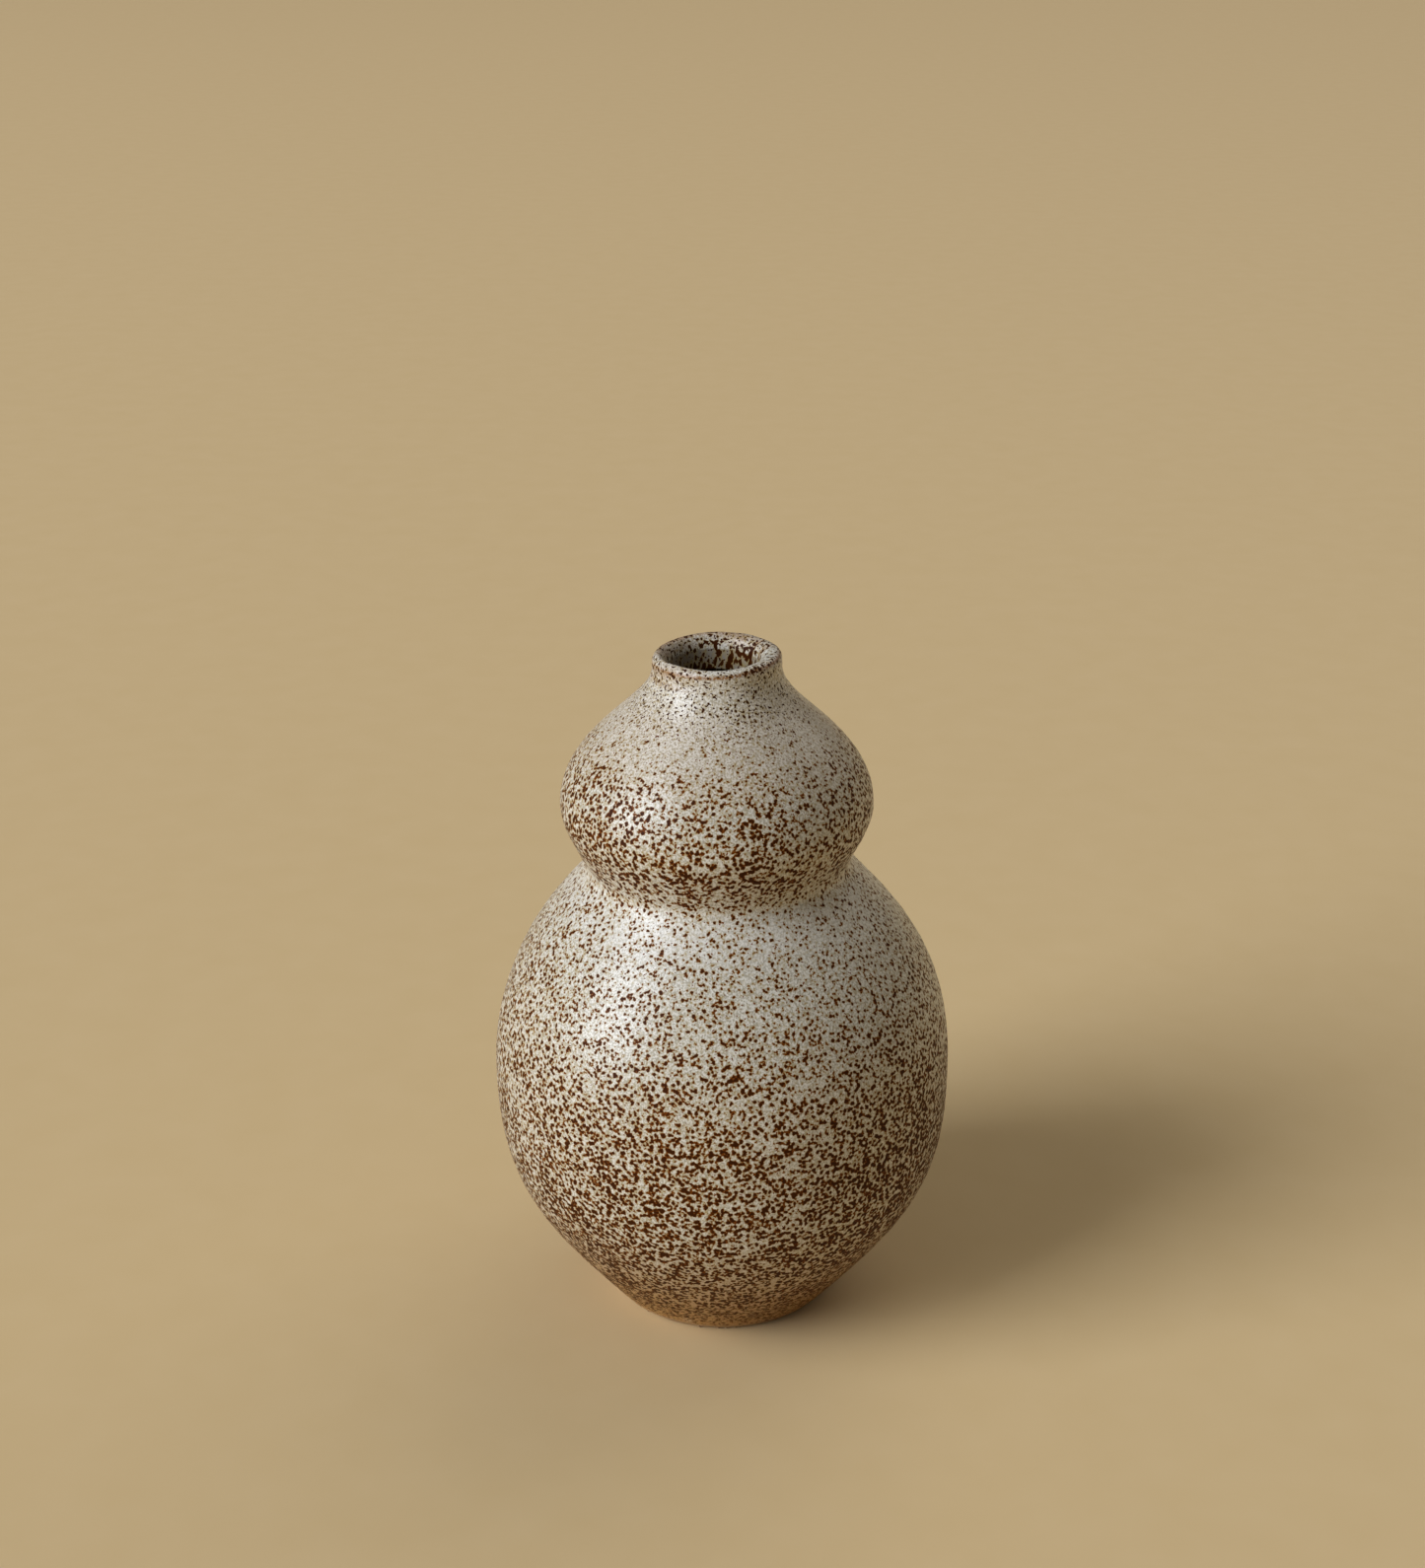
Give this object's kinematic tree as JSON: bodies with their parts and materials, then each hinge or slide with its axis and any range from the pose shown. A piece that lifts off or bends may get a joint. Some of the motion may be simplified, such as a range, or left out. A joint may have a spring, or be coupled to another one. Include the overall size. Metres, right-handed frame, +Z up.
{
  "type": "bud vase",
  "caption": "Gourd-shaped stoneware bud vase: a small bulb with a narrow neck over a larger globe, hollow for water and a few stems, on a flat bare foot.",
  "frame": {"origin": "middle of the foot, on the surface that the vase stands on", "axes": "+Z up along the vase's axis, out of the mouth; +X and +Y are any two directions across it, as it is round"},
  "size_m": [0.1, 0.1, 0.15],
  "materials": {
    "stoneware": "bare iron-bearing stoneware, matt and slightly sandy",
    "joining_slip": "fired slip of the same stoneware",
    "speckled_glaze": "satin warm-white glaze with rust-brown iron speckle",
    "liner_glaze": "satin grey-white liner glaze with brown runs"
  },
  "bodies": {
    "root": {"lower_section": "stoneware", "upper_section": "stoneware", "waist_slip": "joining_slip", "outer_glaze": "speckled_glaze", "inner_glaze": "liner_glaze"}
  },
  "joints": []
}
